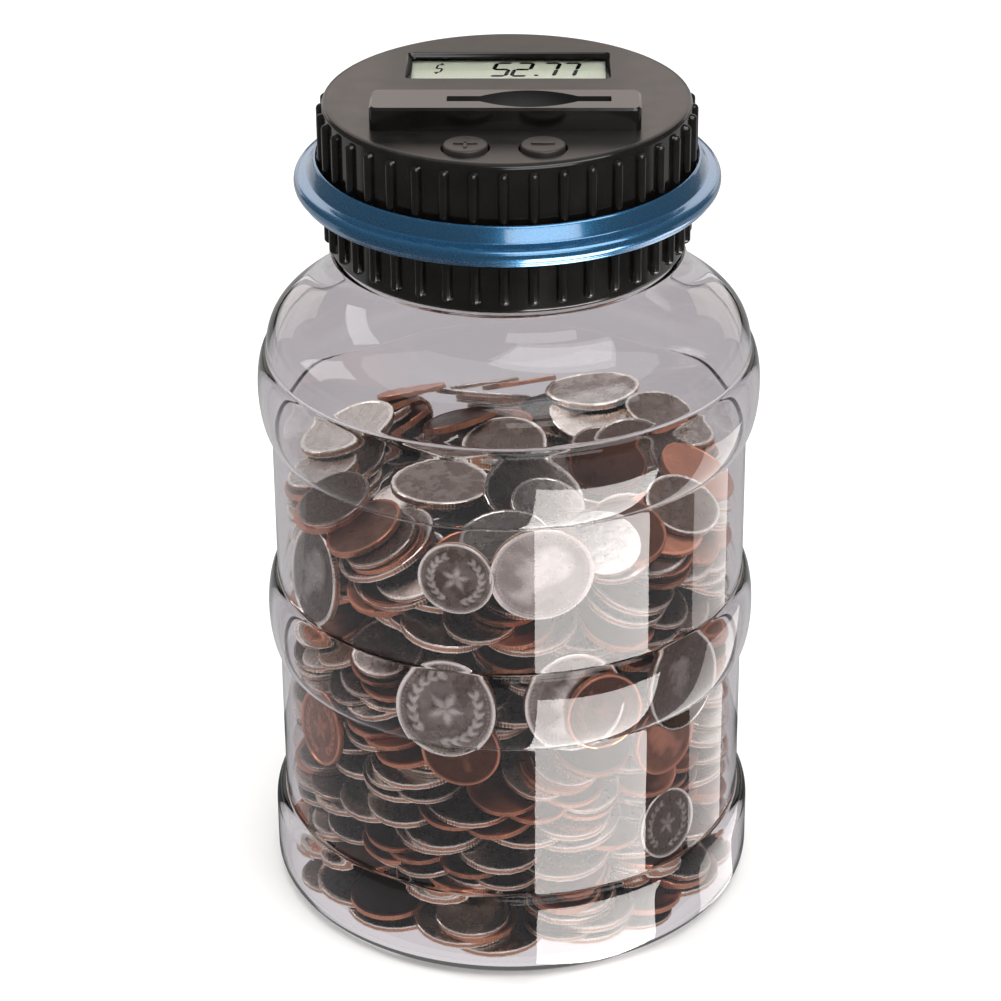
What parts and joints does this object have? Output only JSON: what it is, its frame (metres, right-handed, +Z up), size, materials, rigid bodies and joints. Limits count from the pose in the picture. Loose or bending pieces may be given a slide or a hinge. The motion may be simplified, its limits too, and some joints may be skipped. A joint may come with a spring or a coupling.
{
  "type": "digital coin counting jar",
  "caption": "Clear moulded coin jar with a black screw lid that measures and counts coins pushed through its slot, with a display, two keys and a battery bay.",
  "frame": {"origin": "centre of the jar's foot, on the surface it stands on", "axes": "+Z up along the jar's axis, -Y towards the front of the lid, where the keys are, +X to the right of someone at the front"},
  "size_m": [0.12, 0.12, 0.2095],
  "materials": {
    "clear_pet": "clear blow-moulded PET",
    "coin_metal": "mixed cupronickel and copper coins",
    "black_abs": "glossy moulded ABS",
    "black_matt_abs": "matt moulded ABS",
    "key_grey": "satin moulded keys",
    "metallic_blue": "metallic blue lacquer on ABS",
    "liner_foam": "foamed polyethylene sheet",
    "window_clear": "clear acrylic",
    "lcd_glass": "reflective liquid crystal panel",
    "board_laminate": "solder mask on laminate",
    "contact_rubber": "layered conductive silicone",
    "white_acetal": "moulded acetal",
    "steel": "bright zinc-plated steel",
    "nickel": "nickel-plated spring steel",
    "cell_sleeve": "printed shrink sleeve on steel can",
    "ribbon_pvc": "flat PVC ribbon"
  },
  "bodies": {
    "jar": {"jar_body": "clear_pet", "coin_pile": "coin_metal"},
    "liner": {"neck_liner": "liner_foam"},
    "lid": {"lid_cover": "black_abs", "slot_block": "black_abs", "screw_collar": "black_abs", "trim_ring": "metallic_blue", "display_window": "window_clear", "lcd_panel": "lcd_glass", "contact_strip_front": "contact_rubber", "contact_strip_back": "contact_rubber", "main_board": "board_laminate", "counter_chip": "black_matt_abs", "key_board": "board_laminate", "plus_switch": "black_matt_abs", "minus_switch": "black_matt_abs", "coin_chute": "black_matt_abs", "lever_pin": "steel", "lever_spring": "steel", "lid_floor": "black_matt_abs", "lid_screw_1": "steel", "lid_screw_2": "steel", "lid_screw_3": "steel", "lid_screw_4": "steel", "cell_1": "cell_sleeve", "cell_2": "cell_sleeve", "bridge_contact": "nickel", "negative_contact": "nickel", "positive_contact": "nickel", "ribbon_cable": "ribbon_pvc"},
    "plus_key": {"plus_button": "key_grey", "plus_plunger": "white_acetal"},
    "minus_key": {"minus_button": "key_grey", "minus_plunger": "white_acetal"},
    "lever": {"coin_lever": "white_acetal", "wiper_contact": "nickel"},
    "door": {"battery_door": "black_matt_abs", "door_screw": "steel"}
  },
  "joints": [
    {"name": "lid_lift", "type": "slide", "parent": "jar", "child": "liner", "axis": [0, 0, 1], "range_m": [0, 0.045]},
    {"name": "lid_turn", "type": "hinge", "parent": "liner", "child": "lid", "pos_m": [0, 0, 0.186], "axis": [0, 0, 1], "range_deg": [0, 1080]},
    {"name": "plus_press", "type": "slide", "parent": "lid", "child": "plus_key", "axis": [0, 0, -1], "range_m": [0, 0.0008], "stiffness_N_per_m": 800, "springref_m": -0.0006},
    {"name": "minus_press", "type": "slide", "parent": "lid", "child": "minus_key", "axis": [0, 0, -1], "range_m": [0, 0.0008], "stiffness_N_per_m": 800, "springref_m": -0.0006},
    {"name": "coin_lever_swing", "type": "hinge", "parent": "lid", "child": "lever", "pos_m": [0, -0.035, 0.192], "axis": [0, 0, 1], "range_deg": [0, 45], "stiffness_Nm_per_rad": 0.01, "springref_deg": -11.46},
    {"name": "battery_door_off", "type": "slide", "parent": "lid", "child": "door", "axis": [0, 0, -1], "range_m": [0, 0.03]}
  ],
  "couplings": [
    {"joint": "lid_lift", "follows": "lid_turn", "m_per_rad": 0.0023873}
  ]
}
